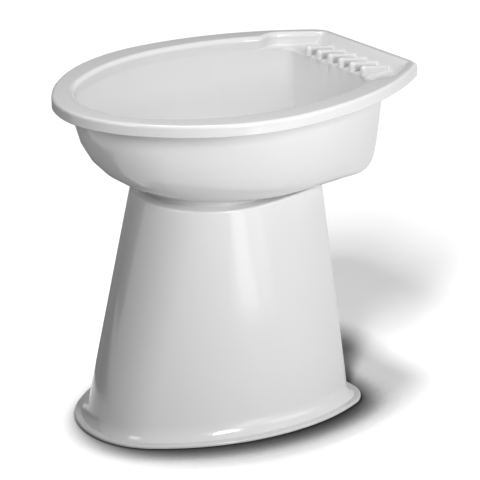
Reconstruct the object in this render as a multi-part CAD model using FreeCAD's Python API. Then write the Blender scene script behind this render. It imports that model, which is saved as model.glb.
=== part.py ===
import FreeCAD, Part
import math
import os
from dataclasses import dataclass, replace
from FreeCAD import Vector

# Portable bidet: an oval bowl that lifts off a hollow, tapered pedestal.
# Millimetres, +Z up, nose towards -Y, straight rear edge with the soap shelf towards +Y.
# The origin is on the floor, under the middle of the rim.

# Rim of the bowl
overall_height = 400.0
rim_length = 430.0
rim_width = 331.0
rim_widest_y = -10.0
rim_nose_turn = 31.0
rim_rear_width = 180.0
rim_corner_radius = 24.0
rim_thickness = 3.0
rim_edge_radius = 4.0
skirt_depth = 14.0
skirt_thickness = 3.0
skirt_bevel = 1.0
lip_radius = 6.0

# Body of the bowl, measured inwards from the rim's outer edge at the skirt's lower edge
body_wall = 3.0
body_inset_side = 28.5
body_inset_nose = 25.0
body_inset_rear = 52.0
body_rear_width = 184.0
body_rear_narrowing = 18.0
body_rear_margin = 4.0
body_corner_radius = 22.0
body_widest_y = -2.0
body_widest_shift = 15.5

# Belly of the bowl: straight draft, then the reach of a superellipse and its exponent
draft_side = 14.0
draft_nose = 4.5
draft_rear = 4.0
reach_side = 77.0
reach_nose = 150.0
reach_rear = 120.0
roundness_side = 4.0
roundness_nose = 2.4
roundness_rear = 12.0
flat_share = 0.98

# Soap shelf, sunk into the rear of the rim
shelf_depth = 15.0
shelf_wall_inset = 15.0
shelf_rear_inset = 9.0
shelf_rear_slope = 9.0
shelf_length = 93.0
shelf_corner_radius = 5.0
shelf_front_radius = 25.0
shelf_cusp_radius = 12.0
shelf_edge_drop = 4.0
rib_count = 6
rib_pitch = 20.9
rib_front_inset = 53.0
rib_tail_inset = 14.0
rib_front_width = 9.0
rib_tail_width = 3.0
rib_front_height = 11.0
rib_tail_height = 4.5
rib_root = 1.0
rib_nose_swell = 0.2
rib_arcs = 12

# Pedestal
pedestal_height = 273.0
pedestal_wall = 3.0
top_width = 186.0
top_nose_y = -119.0
top_rear_y = 89.7
top_widest_y = -17.0
top_rear_width = 144.6
top_corner_radius = 14.0
top_edge_radius = 2.5
foot_width = 281.0
foot_nose_y = -202.0
foot_rear_y = 126.5
foot_widest_y = 21.0
foot_rear_width = 231.0
foot_corner_radius = 38.0
foot_lip = 4.0
foot_edge_radius = 1.5
foot_bevel = 1.0
flare_width = 16.5
flare_height = 18.0
flare_sink = 1.5

# Seat of the bowl on the pedestal
ledge_width = 22.0
ring_inset = 16.0
ring_wall = 3.0
ring_height = 4.0
ring_reach = 20.0
spigot_depth = 12.0
spigot_clearance = 1.0

nose_turn = 52.0
least_corner = 2.0
edge_slack = 0.01
profile_shares = (0.0, 0.2, 0.4, 0.58, 0.72, 0.83, 0.9, 0.955, 0.985, 1.0)
flare_angles = (0.0, 22.5, 45.0, 67.5, 90.0)
shoulder_angles = (0.0, 24.0, 47.0, 70.0)
edge_angles = (0.0, 30.0, 60.0, 90.0)


@dataclass(frozen=True)
class Pieces:
    """How many pieces each arc of half an outline is laid in."""

    nose: int
    flank: int
    side: int
    corner: int


@dataclass(frozen=True)
class Plan:
    """Outline from above: a nose of tangent arcs, arced sides, straight rear edge with round corners."""

    half_width: float
    nose: float
    rear: float
    rear_half: float
    corner: float
    widest: float
    nose_turn: float

    def side_radius(self):
        """Radius of the side arcs, which leave the widest place along Y and reach the rear edge."""
        drop = self.half_width - self.rear_half
        run = self.rear - self.widest
        return (drop * drop + run * run) / (2.0 * drop)

    def hub(self):
        """Centre of the right side arc."""
        return Vector(self.half_width - self.side_radius(), self.widest, 0)

    def flank_radius(self):
        """Radius of the flank arcs, which join the nose arc to the widest place, tangent to both."""
        across = math.sin(math.radians(self.nose_turn))
        along = math.cos(math.radians(self.nose_turn))
        length = self.widest - self.nose
        return (across * length - (1 - along) * self.half_width) / (across + along - 1)

    def flank_centre(self):
        """Centre of the right flank arc."""
        return Vector(self.half_width - self.flank_radius(), self.widest, 0)

    def nose_centre(self):
        """Centre of the nose arc, on the middle plane."""
        turn = math.radians(self.nose_turn)
        return Vector(0, self.nose_end().y + self.nose_end().x / math.tan(turn), 0)

    def nose_end(self):
        """Point where the nose arc runs into the right flank arc, after its turn from the tip."""
        turn = math.radians(self.nose_turn)
        return self.flank_centre() + Vector(math.sin(turn), -math.cos(turn), 0) * self.flank_radius()

    def grown(self, amount):
        """The outline moved outwards by an amount, or inwards where it is negative."""
        radius = self.side_radius()
        run = self.rear - self.widest + amount
        rear_half = self.half_width - radius + math.sqrt((radius + amount) ** 2 - run * run)
        return Plan(
            self.half_width + amount,
            self.nose - amount,
            self.rear + amount,
            rear_half,
            max(self.corner + amount, least_corner),
            self.widest,
            self.nose_turn,
        )

    def fillet_centre(self, line_y, radius, towards):
        """Centre of an arc that joins the right side to a line across at line_y."""
        side = self.side_radius()
        centre_y = line_y + towards * radius
        rise = centre_y - self.widest
        centre_x = self.half_width - side + math.sqrt((side - radius) ** 2 - rise * rise)
        return Vector(centre_x, centre_y, 0)

    def side_point(self, centre):
        """Point of the right side arc that faces a fillet's centre."""
        return self.hub() + (centre - self.hub()).normalize() * self.side_radius()

    def reaching(self, rear):
        """The outline with its rear edge moved along the same side arcs."""
        side = self.side_radius()
        run = rear - self.widest
        rear_half = self.half_width - side + math.sqrt(side * side - run * run)
        return replace(self, rear=rear, rear_half=rear_half)


whole_arcs = Pieces(1, 1, 1, 1)
short_arcs = Pieces(10, 13, 7, 7)


def mirrored(point):
    """The same point on the other side of the middle plane."""
    return Vector(-point.x, point.y, point.z)


def arcs_through(points):
    """Arcs in a row, each through three points and sharing its ends with the next."""
    return [Part.Arc(*points[step : step + 3]).toShape() for step in range(0, len(points) - 2, 2)]


def arc(start, centre, end, pieces=1):
    """Edges of a short circular arc about a centre, from start to end, in equal pieces."""
    radius = (start - centre).Length
    first = math.atan2(start.y - centre.y, start.x - centre.x)
    turn = (start - centre).getAngle(end - centre)
    turn = math.copysign(turn, (start - centre).cross(end - centre).z)
    places = [first + turn * step / (2 * pieces) for step in range(2 * pieces + 1)]
    points = [centre + Vector(math.cos(place), math.sin(place), 0) * radius for place in places]
    return arcs_through(points)


def line(start, end):
    """Straight edge."""
    return Part.LineSegment(start, end).toShape()


def with_mirror(right_edges):
    """The right half's edges, in order, closed by their mirror images."""
    left = [edge.mirror(Vector(0, 0, 0), Vector(1, 0, 0)) for edge in reversed(right_edges)]
    return right_edges + left


def raised(edges, z):
    """One closed wire of these edges, lifted to a height."""
    wire = Part.Wire(Part.sortEdges(edges)[0])
    wire.translate(Vector(0, 0, z))
    return wire


def plan_wire(plan, z, pieces=whole_arcs):
    """Closed wire of an outline at a height, its arcs laid in a number of pieces each."""
    widest = Vector(plan.half_width, plan.widest, 0)
    centre = plan.fillet_centre(plan.rear, plan.corner, -1)
    corner_start = plan.side_point(centre)
    corner_end = Vector(centre.x, plan.rear, 0)
    right = arc(Vector(0, plan.nose, 0), plan.nose_centre(), plan.nose_end(), pieces.nose)
    right += arc(plan.nose_end(), plan.flank_centre(), widest, pieces.flank)
    right += arc(widest, plan.hub(), corner_start, pieces.side)
    right += arc(corner_start, centre, corner_end, pieces.corner)
    return raised(with_mirror(right) + [line(corner_end, mirrored(corner_end))], z)


def loft(sections, pieces=whole_arcs):
    """Solid of ruled strips through (plan, height) sections."""
    return Part.makeLoft([plan_wire(plan, z, pieces) for plan, z in sections], True, True)


def prism(plan, low, high):
    """Upright solid of an outline between two heights."""
    return Part.Face(plan_wire(plan, low)).extrude(Vector(0, 0, high - low))


def edges_where(shape, test):
    """The edges whose bounding box passes a test."""
    return [edge for edge in shape.Edges if test(edge.BoundBox)]


def spans(low, high):
    """Test for a bounding box that reaches from one height to another."""
    return lambda box: abs(box.ZMin - low) < edge_slack and abs(box.ZMax - high) < edge_slack


def flat_at(z):
    """Test for a bounding box that lies level at a height."""
    return spans(z, z)


# Outlines
rim_plan = Plan(
    rim_width / 2,
    -rim_length / 2,
    rim_length / 2,
    rim_rear_width / 2,
    rim_corner_radius,
    rim_widest_y,
    rim_nose_turn,
)
top_plan = Plan(
    top_width / 2,
    top_nose_y,
    top_rear_y,
    top_rear_width / 2,
    top_corner_radius,
    top_widest_y,
    nose_turn,
)
foot_plan = Plan(
    foot_width / 2,
    foot_nose_y,
    foot_rear_y,
    foot_rear_width / 2,
    foot_corner_radius,
    foot_widest_y,
    nose_turn,
)
skirt_bottom = overall_height - skirt_depth
rim_underside = overall_height - rim_thickness
bowl_bottom = pedestal_height + ring_height
shelf_floor = overall_height - shelf_depth
shelf_front_y = rim_plan.rear - shelf_length


def belly_inset(share, draft, reach, roundness):
    """How far the belly has drawn in at a share of its depth."""
    return draft * share + reach * (1 - (1 - share**roundness) ** (1 / roundness))


def body_plan(share):
    """Outline of the body at a share of its depth, from the skirt's edge to the flat bottom."""
    depth = share * flat_share
    rear = rim_plan.rear - body_inset_rear - belly_inset(depth, draft_rear, reach_rear, roundness_rear)
    nose = rim_plan.nose + body_inset_nose + belly_inset(depth, draft_nose, reach_nose, roundness_nose)
    side = body_inset_side + belly_inset(depth, draft_side, reach_side, roundness_side)
    half_width = rim_plan.half_width - side
    rear_half = (body_rear_width - body_rear_narrowing * depth) / 2
    rear_half = min(rear_half, half_width - body_rear_margin)
    widest = body_widest_y + body_widest_shift * depth
    return Plan(half_width, nose, rear, rear_half, body_corner_radius, widest, nose_turn)


def body_at(z, wall):
    """Outline of the body at a height, drawn in by a wall on its sides and its floor."""
    depth = skirt_bottom - bowl_bottom - wall
    share = max(skirt_bottom - z, 0.0) / depth
    return body_plan(share).grown(-wall)


def belly(wall, top):
    """Solid of the body from its flat bottom to a height."""
    depth = top - bowl_bottom - wall
    heights = [top - share * depth for share in profile_shares]
    return loft([(body_at(z, wall), z) for z in heights])


def shelf_wire(z, grow, rear_shift):
    """Outline of the shelf's recess, whose round front corners run into the bowl's sides."""
    wall = rim_plan.grown(grow - shelf_wall_inset)
    rear_y = rim_plan.rear - shelf_rear_inset + grow - rear_shift
    front_y = shelf_front_y - grow
    rear_radius = shelf_corner_radius + grow
    front_radius = shelf_front_radius + grow
    rear_centre = wall.fillet_centre(rear_y, rear_radius, -1)
    front_centre = wall.fillet_centre(front_y, front_radius, 1)
    front_end = Vector(front_centre.x, front_y, 0)
    front_start = wall.side_point(front_centre)
    rear_start = wall.side_point(rear_centre)
    rear_end = Vector(rear_centre.x, rear_y, 0)
    right = arc(front_end, front_centre, front_start)
    right += arc(front_start, wall.hub(), rear_start)
    right += arc(rear_start, rear_centre, rear_end)
    rear = line(rear_end, mirrored(rear_end))
    front = line(mirrored(front_end), front_end)
    return raised(with_mirror(right) + [rear, front], z)


def shelf_solid(grow, low, high):
    """Solid of the shelf's recess between two heights, with its sloped rear wall."""
    rise = (high - low) / shelf_depth
    wires = [shelf_wire(low, grow, shelf_rear_slope), shelf_wire(high, grow, shelf_rear_slope * (1 - rise))]
    return Part.makeLoft(wires, True, True)


def mouth():
    """Solid of the bowl's inside above the belly, rounded over backwards into the shelf's floor."""
    radius = shelf_edge_drop / math.sin(math.radians(shoulder_angles[-1]))
    sections = []
    for angle in shoulder_angles:
        turn = math.radians(angle)
        z = shelf_floor - shelf_edge_drop + radius * math.sin(turn)
        plan = body_at(z, body_wall)
        sections.append((plan.reaching(plan.rear + radius * (1 - math.cos(turn))), z))
    return loft(sections).fuse(prism(sections[-1][0], shelf_floor, overall_height))


def rib_arch(y, width, height):
    """Closed wire across a soap rib: upright sides from the root in the shelf's floor, half-round ridge."""
    radius = width / 2
    foot = Vector(radius, y, shelf_floor - rib_root)
    axis = Vector(0, y, shelf_floor + height - radius)
    turns = [math.pi * step / (2 * rib_arcs) for step in range(2 * rib_arcs + 1)]
    ridge = [axis + Vector(math.cos(turn), 0, math.sin(turn)) * radius for turn in turns]
    sides = with_mirror([line(foot, ridge[0])])
    return raised(arcs_through(ridge) + sides + [line(mirrored(foot), foot)], 0.0)


def rib_nose(y):
    """Round post at the front of a soap rib, domed from the ridge's axis upwards."""
    radius = rib_front_width / 2 + rib_nose_swell
    root = Vector(0, y, shelf_floor - rib_root)
    centre = Vector(0, y, shelf_floor + rib_front_height - rib_front_width / 2)
    turns = [math.radians(angle) for angle in edge_angles]
    dome = [centre + Vector(math.cos(turn), 0, math.sin(turn)) * radius for turn in turns]
    outline = [root, root + Vector(radius, 0, 0)] + dome + [root]
    return Part.Face(Part.makePolygon(outline)).revolve(root, Vector(0, 0, 1), 360)


def rib(x):
    """Soap rib: a round ridge that falls towards the rear wall, with a domed nose over the shelf."""
    front_y = rim_plan.rear - rib_front_inset
    tail_y = rim_plan.rear - rib_tail_inset
    front = rib_arch(front_y, rib_front_width, rib_front_height)
    tail = rib_arch(tail_y, rib_tail_width, rib_tail_height)
    solid = Part.makeLoft([front, tail], True, True).fuse(rib_nose(front_y))
    solid.translate(Vector(x, 0, 0))
    return solid


def foot_ring():
    """Stepped tube under the bowl: it stands on the pedestal's ledge and centres in its opening."""
    spigot = top_plan.grown(-ledge_width - spigot_clearance)
    low = pedestal_height - spigot_depth
    high = pedestal_height + ring_reach
    step = prism(top_plan.grown(-ring_inset), pedestal_height, high)
    tube = step.fuse(prism(spigot, low, pedestal_height))
    return tube.cut(prism(spigot.grown(-ring_wall), low, high))


def rim_ring():
    """Flat rim with its rounded outer edge and its downturned skirt, before the bowl is hollowed out."""
    ring = edged_plate(rim_plan, skirt_bottom, overall_height, skirt_bevel, rim_edge_radius)
    return ring.cut(prism(rim_plan.grown(-skirt_thickness), skirt_bottom, rim_underside))


def rounded_mouth(shell):
    """The bowl with its mouth's edge rounded, and the cusps where the shelf runs into the bowl."""
    upright = edges_where(shell, spans(shelf_floor, overall_height))
    shelf_edges = [edge for edge in upright if edge.BoundBox.YMax > shelf_front_y - edge_slack]
    cusps = sorted(shelf_edges, key=lambda edge: edge.BoundBox.YMin)[:2]
    shell = shell.makeFillet(shelf_cusp_radius, cusps)
    deck = next(face for face in shell.Faces if flat_at(overall_height)(face.BoundBox))
    inner = [wire for wire in deck.Wires if not wire.isSame(deck.OuterWire)]
    return shell.makeFillet(lip_radius, inner[0].Edges)


def bowl():
    """Thin-walled basin with its rim, skirt, soap shelf and foot ring."""
    neck = prism(body_plan(0), skirt_bottom, rim_underside)
    tray = shelf_solid(body_wall, shelf_floor - body_wall, rim_underside)
    shell = rim_ring().fuse([belly(0.0, skirt_bottom), neck, tray, foot_ring()])
    recess = shelf_solid(0.0, shelf_floor, overall_height)
    hollow = belly(body_wall, shelf_floor - shelf_edge_drop).fuse([mouth(), recess])
    shell = rounded_mouth(shell.cut(hollow).removeSplitter())
    middle = (rib_count - 1) / 2
    ribs = [rib((number - middle) * rib_pitch) for number in range(rib_count)]
    return shell.fuse(ribs).removeSplitter()


def quarter_round(plan, top, radius):
    """Sections of a rounded upper edge, from the upright wall to the level top."""
    sections = []
    for angle in edge_angles:
        turn = math.radians(angle)
        sections.append((plan.grown(radius * (math.cos(turn) - 1)), top + radius * (math.sin(turn) - 1)))
    return sections


def edged_plate(plan, low, high, bevel, radius):
    """Upright slab of an outline, bevelled at its lower edge and rounded at its upper one."""
    foot = [(plan.grown(-bevel), low), (plan, low + bevel)]
    return loft(foot + quarter_round(plan, high, radius))


def column(wall, top):
    """Solid of the column and its concave flare, drawn in by a wall, up to a height."""
    base = foot_plan.grown(-foot_edge_radius - flare_width - wall)
    base_z = foot_lip + flare_height - wall
    flare = []
    for angle in flare_angles:
        turn = math.radians(angle)
        out = flare_width * (1 - math.cos(turn))
        flare.append((base.grown(out), base_z - (flare_height + flare_sink) * math.sin(turn)))
    shaft = loft([(base, base_z), (top_plan.grown(-wall), top)], short_arcs)
    return shaft.fuse(loft(flare))


def pedestal():
    """Hollow tapered column with a flared foot and a ledge that carries the bowl."""
    foot = edged_plate(foot_plan, 0.0, foot_lip, foot_bevel, foot_edge_radius)
    head = loft(quarter_round(top_plan, pedestal_height, top_edge_radius))
    shell = column(0.0, pedestal_height - top_edge_radius).fuse([foot, head])
    hollow = column(pedestal_wall, pedestal_height - pedestal_wall)
    under = prism(foot_plan.grown(-foot_edge_radius - pedestal_wall), 0.0, foot_lip - pedestal_wall)
    opening = prism(top_plan.grown(-ledge_width), 0.0, pedestal_height)
    return shell.cut(hollow.fuse([under, opening])).removeSplitter()


if __name__ == "__main__":
    os.makedirs("parts", exist_ok=True)
    bowl().exportStep("parts/bowl.step")
    pedestal().exportStep("parts/pedestal.step")
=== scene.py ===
"""Looks of a portable bidet: a glossy white bowl that stands on a hollow, tapered pedestal.

Metres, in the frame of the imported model: +Z up, the bowl's nose towards -Y, its soap shelf towards +Y.
"""

import logging
import math
from dataclasses import dataclass, field
from enum import Enum
from typing import Any

import bpy
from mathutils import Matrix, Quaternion, Vector

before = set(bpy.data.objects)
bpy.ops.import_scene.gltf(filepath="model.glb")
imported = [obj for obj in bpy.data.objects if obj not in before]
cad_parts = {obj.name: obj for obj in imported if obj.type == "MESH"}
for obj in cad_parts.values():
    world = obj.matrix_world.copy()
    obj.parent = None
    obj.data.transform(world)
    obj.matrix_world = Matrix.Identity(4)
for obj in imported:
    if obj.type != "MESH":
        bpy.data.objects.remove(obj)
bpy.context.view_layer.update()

log = logging.getLogger("bidet")

Number = int | float
Colour = tuple[float, float, float]

UP = Vector((0.0, 0.0, 1.0))
WHITE: Colour = (1.0, 1.0, 1.0)
NOISE_MIDDLE = 0.5
CREASE_ANGLE = math.radians(32)
WELD_DISTANCE = 2e-6
EVEN_FACE_WEIGHT = 50
MATERIAL_OUTPUT = "ShaderNodeOutputMaterial"
WORLD_OUTPUT = "ShaderNodeOutputWorld"

# Numbers of a Mix node's sockets for colours
MIX_SHARE, MIX_FIRST, MIX_SECOND = 0, 6, 7
MIX_RESULT = 2


def opaque(colour: Colour) -> tuple[float, float, float, float]:
    """A colour with full alpha, as a colour socket takes it."""
    return (*colour, 1.0)


class MathStep(Enum):
    """Operations of a Math node that expressions on values use."""

    ADD = "ADD"
    SUBTRACT = "SUBTRACT"
    MULTIPLY = "MULTIPLY"


class Value:
    """A socket that carries a number, for use in Python expressions."""

    def __init__(self, tree: "MaterialTree", socket: bpy.types.NodeSocket) -> None:
        """Wrap a socket.

        Args:
            tree: the tree that new nodes are added to.
            socket: the output socket that carries the number.
        """
        self.tree = tree
        self.socket = socket

    def joined(self, step: MathStep, first: Any, second: Any) -> "Value":
        """Add a Math node.

        Args:
            step: its operation.
            first: its first input, a Value or a number.
            second: its second input, a Value or a number.

        Returns:
            The node's result.
        """
        node = self.tree.node("ShaderNodeMath", {"operation": step.value}, {0: first, 1: second})
        return Value(self.tree, node.outputs[0])

    def __add__(self, other: Any) -> "Value":
        """self + other."""
        return self.joined(MathStep.ADD, self, other)

    def __radd__(self, other: Number) -> "Value":
        """other + self."""
        return self.joined(MathStep.ADD, other, self)

    def __sub__(self, other: Any) -> "Value":
        """self - other."""
        return self.joined(MathStep.SUBTRACT, self, other)

    def __rsub__(self, other: Number) -> "Value":
        """other - self."""
        return self.joined(MathStep.SUBTRACT, other, self)

    def __mul__(self, other: Any) -> "Value":
        """self * other."""
        return self.joined(MathStep.MULTIPLY, self, other)

    def __rmul__(self, other: Number) -> "Value":
        """other * self."""
        return self.joined(MathStep.MULTIPLY, other, self)


class MaterialTree:
    """The node tree of one material or world, emptied down to its output."""

    def __init__(self, owner: bpy.types.ID, output_type: str) -> None:
        """Empty the owner's tree and add its output.

        Args:
            owner: the material or world.
            output_type: the type name of its output node.
        """
        owner.use_nodes = True
        self.nodes = owner.node_tree.nodes
        self.links = owner.node_tree.links
        self.nodes.clear()
        self.output = self.nodes.new(output_type)

    def node(self, kind: str, settings: dict[str, Any], sockets: dict[Any, Any]) -> bpy.types.Node:
        """Add a node.

        Args:
            kind: the node's type name.
            settings: the node's own properties, set first.
            sockets: values, Values or output sockets for its inputs, by name or number.

        Returns:
            The new node.
        """
        made = self.nodes.new(kind)
        for name, value in settings.items():
            setattr(made, name, value)
        for name, value in sockets.items():
            self.feed(made.inputs[name], value)
        return made

    def feed(self, socket: bpy.types.NodeSocket, value: Any) -> None:
        """Link a socket to a Value or an output socket, or set it to a plain value.

        Args:
            socket: the input socket.
            value: what it gets.
        """
        if isinstance(value, Value):
            value = value.socket
        if isinstance(value, bpy.types.NodeSocket):
            self.links.new(value, socket)
        else:
            socket.default_value = value

    def value(self, node: bpy.types.Node, output: str) -> Value:
        """A node's output as a number for expressions."""
        return Value(self, node.outputs[output])

    def mixed(self, share: Value, first: Any, second: Any) -> bpy.types.NodeSocket:
        """Blend two colours, each an opaque colour or a socket.

        Args:
            share: how much of the second colour there is.
            first: the colour at 0.
            second: the colour at 1.

        Returns:
            The socket with the blended colour.
        """
        blend = self.node(
            "ShaderNodeMix",
            {"data_type": "RGBA"},
            {MIX_SHARE: share, MIX_FIRST: first, MIX_SECOND: second},
        )
        return blend.outputs[MIX_RESULT]

    def close(self, shader: bpy.types.NodeSocket) -> None:
        """Link a shader to the tree's output."""
        self.links.new(shader, self.output.inputs["Surface"])

    def close_matt(self, colour: Any) -> None:
        """End the tree in a matt surface, of an opaque colour or a socket's."""
        shader = self.node("ShaderNodeBsdfDiffuse", {}, {"Color": colour})
        self.close(shader.outputs["BSDF"])


@dataclass(frozen=True)
class GlossPlastic:
    """White injection-moulded plastic: a faint flow marbling, a fine grain and an orange-peel gloss."""

    name: str
    white: Colour
    shade: Colour
    roughness: float
    roughness_spread: float
    peel_size: float
    peel_depth: float
    grain_size: float
    grain_depth: float
    flow_size: float = 0.045
    flow_stretch: float = 0.35
    flow_share: float = 0.7
    flow_detail: float = 4.0
    peel_detail: float = 2.0
    grain_detail: float = 3.0
    noise_roughness: float = 0.55
    ior: float = 1.49

    def noise(self, tree: MaterialTree, place: bpy.types.NodeSocket, size: float, detail: float) -> Value:
        """Add a noise.

        Args:
            tree: the material's tree.
            place: the socket with the coordinates.
            size: about how far apart its spots are, in metres.
            detail: its octaves.

        Returns:
            The noise, from 0 to 1.
        """
        made = tree.node(
            "ShaderNodeTexNoise",
            {"noise_dimensions": "3D"},
            {"Vector": place, "Scale": 1 / size, "Detail": detail, "Roughness": self.noise_roughness},
        )
        return tree.value(made, "Fac")

    def material(self) -> bpy.types.Material:
        """Build the material.

        Returns:
            The new material.
        """
        made = bpy.data.materials.new(self.name)
        tree = MaterialTree(made, MATERIAL_OUTPUT)
        place = tree.node("ShaderNodeTexCoord", {}, {}).outputs["Object"]
        stretched = tree.node(
            "ShaderNodeMapping",
            {"vector_type": "POINT"},
            {"Vector": place, "Scale": (1, 1, self.flow_stretch)},
        )
        flow = self.noise(tree, stretched.outputs["Vector"], self.flow_size, self.flow_detail)
        peel = self.noise(tree, place, self.peel_size, self.peel_detail)
        grain = self.noise(tree, place, self.grain_size, self.grain_detail)
        pale_share = flow * self.flow_share + grain * (1 - self.flow_share)
        flow_gloss = (flow - NOISE_MIDDLE) * self.roughness_spread
        grain_gloss = (grain - NOISE_MIDDLE) * self.roughness_spread
        bump = tree.node(
            "ShaderNodeBump",
            {},
            {"Strength": 1.0, "Distance": 1.0, "Height": peel * self.peel_depth + grain * self.grain_depth},
        )
        shader = tree.node(
            "ShaderNodeBsdfPrincipled",
            {},
            {
                "Base Color": tree.mixed(pale_share, opaque(self.shade), opaque(self.white)),
                "Roughness": self.roughness + flow_gloss + grain_gloss,
                "IOR": self.ior,
                "Normal": bump.outputs["Normal"],
            },
        )
        tree.close(shader.outputs["BSDF"])
        return made


class Moulding(Enum):
    """The two mouldings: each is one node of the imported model, on a body of the same name."""

    BOWL = "bowl"
    PEDESTAL = "pedestal"


def dressed(moulding: Moulding, finish: GlossPlastic, crease: float, weld: float) -> bpy.types.Object:
    """Smooth a moulding's facets up to its creases, and give it its material.

    Args:
        moulding: which one.
        finish: its finish.
        crease: the angle from which an edge stays sharp, in radians.
        weld: how close its corners are to be joined, in metres.

    Returns:
        The moulding's object.
    """
    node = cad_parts[moulding.value]
    node.data.materials.clear()
    node.data.materials.append(finish.material())
    join = node.modifiers.new("weld", "WELD")
    join.merge_threshold = weld
    split = node.modifiers.new("creases", "EDGE_SPLIT")
    split.split_angle = crease
    even = node.modifiers.new("even_normals", "WEIGHTED_NORMAL")
    even.weight = EVEN_FACE_WEIGHT
    return node


@dataclass
class Bowl:
    """The lift-off basin, with its rim, skirt and ribbed soap shelf."""

    finish: GlossPlastic
    crease: float = CREASE_ANGLE
    weld: float = WELD_DISTANCE

    def dress(self) -> bpy.types.Object:
        """Give the bowl its smooth surface and its finish, and return its object."""
        return dressed(Moulding.BOWL, self.finish, self.crease, self.weld)


@dataclass
class Pedestal:
    """The hollow column with its top ledge and its flared foot."""

    finish: GlossPlastic
    crease: float = CREASE_ANGLE
    weld: float = WELD_DISTANCE

    def dress(self) -> bpy.types.Object:
        """Give the pedestal its smooth surface and its finish, and return its object."""
        return dressed(Moulding.PEDESTAL, self.finish, self.crease, self.weld)


class Reach(Enum):
    """Which surfaces a lamp lights, as the state of the floor in the lamp's list."""

    FLOOR_ONLY = "INCLUDE"
    ALL_BUT_FLOOR = "EXCLUDE"


@dataclass(frozen=True)
class Softbox:
    """A rectangular lamp on the object: angles in degrees, lengths in metres, power in watts.

    Its turn is counted from the camera's side of the object, as seen from above.
    """

    name: str
    turn: float
    distance: float
    height: float
    width: float
    tall: float
    power: float
    aim_height: float
    roll: float = 0.0
    mirrored: bool = True


@dataclass(frozen=True)
class Card:
    """A dark card that the camera doesn't see, which the gloss mirrors as a darker edge.

    It is placed as a softbox is, and stands upright or lies level.
    """

    name: str
    turn: float
    distance: float
    height: float
    width: float
    tall: float
    grey: float
    lying: bool = False


@dataclass(frozen=True)
class FarLamp:
    """A soft lamp so far off that it lights the whole floor evenly, with its angles in degrees."""

    name: str
    turn: float
    elevation: float
    spread: float
    strength: float


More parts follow.
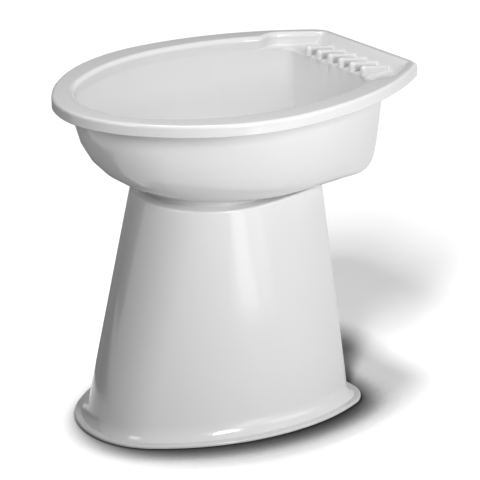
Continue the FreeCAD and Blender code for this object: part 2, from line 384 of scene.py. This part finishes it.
@dataclass
class Studio:
    """Pale floor, soft lamps, dark cards, white surroundings and the camera, with its angles in radians."""

    azimuth: float = math.radians(54.03)
    elevation: float = math.radians(22.02)
    distance: float = 2.3043
    target: Vector = field(default_factory=lambda: Vector((0.0, 0.01955, 0.19157)))
    lens: float = 144.4
    sensor: float = 36.0
    floor_size: float = 30.0
    floor_colour: Colour = (0.92, 0.92, 0.92)
    floor_bounce: Colour = (0.28, 0.28, 0.28)
    ambient: float = 0.02
    # Painted contact shadow on the floor: its near-black colour, its reach, its samples and the lean of its
    # test hemisphere.
    painted_shadow_colour: Colour = (0.02, 0.02, 0.02)
    painted_shadow_reach: float = 0.05
    painted_shadow_samples: int = 16
    painted_shadow_turn: float = math.radians(-130)
    painted_shadow_elevation: float = math.radians(50)
    boxes: tuple[Softbox, ...] = (
        Softbox(
            "front_box",
            turn=29.0, distance=1.0, height=0.75, width=0.25, tall=0.4, power=5.8, aim_height=0.25,
        ),
        Softbox(
            "side_box",
            turn=62.0, distance=1.0, height=0.42, width=0.5, tall=0.35, power=1.5, aim_height=0.25,
        ),
        Softbox(
            "top_box",
            turn=-110.0, distance=0.1, height=1.5, width=0.4, tall=0.4, power=7.5, aim_height=0.3,
        ),
        Softbox(
            "strip_box",
            turn=37.0, distance=0.7, height=0.1, width=0.14, tall=0.32, power=0.28, aim_height=0.1, roll=35.0,
        ),
        Softbox(
            "fill_box",
            turn=-40.0, distance=0.7, height=0.7, width=0.2, tall=0.2, power=0.8, aim_height=0.3,
        ),
        Softbox(
            "back_box",
            turn=-165.0, distance=1.5, height=0.3, width=1.2, tall=0.5, power=13.0, aim_height=0.2,
            mirrored=False,
        ),
        Softbox(
            "low_box",
            turn=45.0, distance=0.7, height=0.12, width=0.44, tall=0.24, power=0.34, aim_height=0.12,
        ),
    )
    cards: tuple[Card, ...] = (
        Card("left_card", turn=-125.0, distance=1.0, height=0.5, width=1.2, tall=1.6, grey=0.3),
        Card("back_card", turn=-170.0, distance=1.2, height=0.9, width=1.2, tall=1.6, grey=0.02),
        Card(
            "floor_card",
            turn=-140.0, distance=0.62, height=0.002, width=0.9, tall=0.9, grey=0.25, lying=True,
        ),
    )
    floor_lamps: tuple[FarLamp, ...] = (
        FarLamp("floor_lamp_above", turn=-130.0, elevation=86.0, spread=9.0, strength=1.9),
        FarLamp("floor_lamp_low", turn=-17.0, elevation=42.0, spread=8.0, strength=0.75),
        FarLamp("floor_lamp_middle", turn=-17.0, elevation=50.0, spread=8.0, strength=0.75),
        FarLamp("floor_lamp_high", turn=-17.0, elevation=58.0, spread=8.0, strength=0.75),
    )

    def outward(self, turn: float, elevation: float = 0.0) -> Vector:
        """Direction from the object to a place round it.

        Args:
            turn: its turn from the camera's side, in radians.
            elevation: its angle above the level, in radians.

        Returns:
            The direction, one long.
        """
        azimuth = self.azimuth + turn
        level = math.cos(elevation)
        return Vector((math.sin(azimuth) * level, -math.cos(azimuth) * level, math.sin(elevation)))

    def placed(self, name: str, data: Any, place: Vector, towards: Vector) -> bpy.types.Object:
        """Add a camera or a lamp to the scene.

        Args:
            name: the new object's name.
            data: the camera or the lamp.
            place: where it stands.
            towards: the direction it looks in.

        Returns:
            The new object.
        """
        made = bpy.data.objects.new(name, data)
        bpy.context.scene.collection.objects.link(made)
        made.location = place
        made.rotation_mode = "QUATERNION"
        made.rotation_quaternion = towards.to_track_quat("-Z", "Y")
        return made

    def make_camera(self) -> None:
        """Stand the camera where the photograph was taken."""
        data = bpy.data.cameras.new("camera")
        data.lens = self.lens
        data.sensor_width = self.sensor
        back = self.outward(0.0, self.elevation)
        bpy.context.scene.camera = self.placed("camera", data, self.target + back * self.distance, -back)

    def make_box(self, box: Softbox, floor: bpy.types.Object) -> None:
        """Hang one softbox that lights the object.

        Args:
            box: its place, size and power.
            floor: the floor, which it doesn't light.
        """
        data = bpy.data.lights.new(box.name, "AREA")
        data.shape = "RECTANGLE"
        data.size = box.width
        data.size_y = box.tall
        data.energy = box.power
        place = self.outward(math.radians(box.turn)) * box.distance + UP * box.height
        lamp = self.placed(box.name, data, place, UP * box.aim_height - place)
        lamp.rotation_quaternion @= Quaternion(UP, math.radians(box.roll))
        lamp.visible_glossy = box.mirrored
        self.limit(lamp, floor, Reach.ALL_BUT_FLOOR)

    def make_floor_lamp(self, far: FarLamp, floor: bpy.types.Object) -> None:
        """Hang a lamp that lights the floor and throws the object's shadow on it.

        Args:
            far: its direction, softness and strength.
            floor: the floor, which is all that it lights.
        """
        data = bpy.data.lights.new(far.name, "SUN")
        data.angle = math.radians(far.spread)
        data.energy = far.strength
        back = self.outward(math.radians(far.turn), math.radians(far.elevation))
        lamp = self.placed(far.name, data, back * self.distance, -back)
        self.limit(lamp, floor, Reach.FLOOR_ONLY)

    def limit(self, lamp: bpy.types.Object, floor: bpy.types.Object, reach: Reach) -> None:
        """Let a lamp light the floor alone, or all but the floor.

        Args:
            lamp: the lamp.
            floor: the floor.
            reach: which of the two.
        """
        listed = bpy.data.collections.new(lamp.name + "_list")
        listed.objects.link(floor)
        listed.collection_objects[0].light_linking.link_state = reach.value
        lamp.light_linking.receiver_collection = listed

    def make_floor(self) -> bpy.types.Object:
        """Lay the floor: pale to look at, darker as a light on the object, and darkest round the foot, where
        a contact shadow is painted into its colour.

        Returns:
            The floor.
        """
        floor = self.sheet("floor", self.floor_size, self.floor_size)
        tree = MaterialTree(floor.active_material, MATERIAL_OUTPUT)
        pale = tree.mixed(self.looked_at(tree), opaque(self.floor_bounce), opaque(self.floor_colour))
        # Painted shadow: the floor's colour goes to near black close to the foot, the more the object fills a
        # hemisphere leaned to the back-left.
        lean = self.outward(self.painted_shadow_turn, self.painted_shadow_elevation)
        leaning = tree.node("ShaderNodeCombineXYZ", {}, {"X": lean.x, "Y": lean.y, "Z": lean.z})
        painted_shadow_test = tree.node(
            "ShaderNodeAmbientOcclusion",
            {"samples": self.painted_shadow_samples},
            {"Distance": self.painted_shadow_reach, "Normal": leaning.outputs["Vector"]},
        )
        unshadowed_share = tree.value(painted_shadow_test, "AO")
        unshadowed_cubed = unshadowed_share * unshadowed_share * unshadowed_share
        tree.close_matt(tree.mixed(unshadowed_cubed * unshadowed_cubed, opaque(self.painted_shadow_colour), pale))
        return floor

    def make_card(self, card: Card) -> None:
        """Stand or lay one dark card that shows in the gloss alone.

        Args:
            card: its place, size and grey.
        """
        sheet = self.sheet(card.name, card.width, card.tall)
        tree = MaterialTree(sheet.active_material, MATERIAL_OUTPUT)
        tree.close_matt(opaque((card.grey, card.grey, card.grey)))
        back = self.outward(math.radians(card.turn))
        facing = UP if card.lying else back
        sheet.location = back * card.distance + UP * card.height
        sheet.rotation_mode = "QUATERNION"
        sheet.rotation_quaternion = facing.to_track_quat("Z", "Y")
        sheet.visible_camera = False
        sheet.visible_diffuse = False
        sheet.visible_shadow = False

    def sheet(self, name: str, width: float, tall: float) -> bpy.types.Object:
        """Make a flat piece of the stage.

        Args:
            name: the name of the object and of its new material.
            width: its size along its own X.
            tall: its size along its own Y.

        Returns:
            The new object, level at the origin.
        """
        mesh = bpy.data.meshes.new(name)
        across, along = width / 2, tall / 2
        corners = [(-across, -along, 0), (across, -along, 0), (across, along, 0), (-across, along, 0)]
        mesh.from_pydata(corners, [], [(0, 1, 2, 3)])
        mesh.materials.append(bpy.data.materials.new(name))
        made = bpy.data.objects.new(name, mesh)
        bpy.context.scene.collection.objects.link(made)
        return made

    def looked_at(self, tree: MaterialTree) -> Value:
        """Tell what is looked at from what only lights the object.

        Args:
            tree: the material's or the world's tree.

        Returns:
            1 where the camera looks, straight, in a reflection or through a clear surface, and 0 for light.
        """
        path = tree.node("ShaderNodeLightPath", {}, {})
        rays = ("Is Camera Ray", "Is Glossy Ray", "Is Transmission Ray")
        straight, mirrored, through = (tree.value(path, ray) for ray in rays)
        return straight + mirrored + through

    def make_world(self) -> None:
        """Make the surroundings white to look at, and dim as a light."""
        world = bpy.data.worlds.new("surroundings")
        bpy.context.scene.world = world
        tree = MaterialTree(world, WORLD_OUTPUT)
        strength = self.ambient + self.looked_at(tree) * (1 - self.ambient)
        light = tree.node("ShaderNodeBackground", {}, {"Color": opaque(WHITE), "Strength": strength})
        tree.close(light.outputs["Background"])

    def build(self) -> None:
        """Set up the whole studio."""
        self.make_world()
        floor = self.make_floor()
        for box in self.boxes:
            self.make_box(box, floor)
        for far in self.floor_lamps:
            self.make_floor_lamp(far, floor)
        for card in self.cards:
            self.make_card(card)
        self.make_camera()


def main() -> None:
    """Dress the two mouldings and set up the studio."""
    logging.basicConfig(level=logging.INFO)
    bpy.context.scene.view_settings.view_transform = "Standard"
    finish = GlossPlastic(
        name="white_gloss_plastic",
        white=(0.86, 0.86, 0.86),
        shade=(0.81, 0.81, 0.81),
        roughness=0.13,
        roughness_spread=0.05,
        peel_size=0.006,
        peel_depth=2e-5,
        grain_size=0.0009,
        grain_depth=1e-5,
    )
    for part in (Bowl(finish), Pedestal(finish)):
        log.info("dressed %s", part.dress().name)
    Studio().build()
    log.info("set up the studio")


if __name__ == "__main__":
    main()
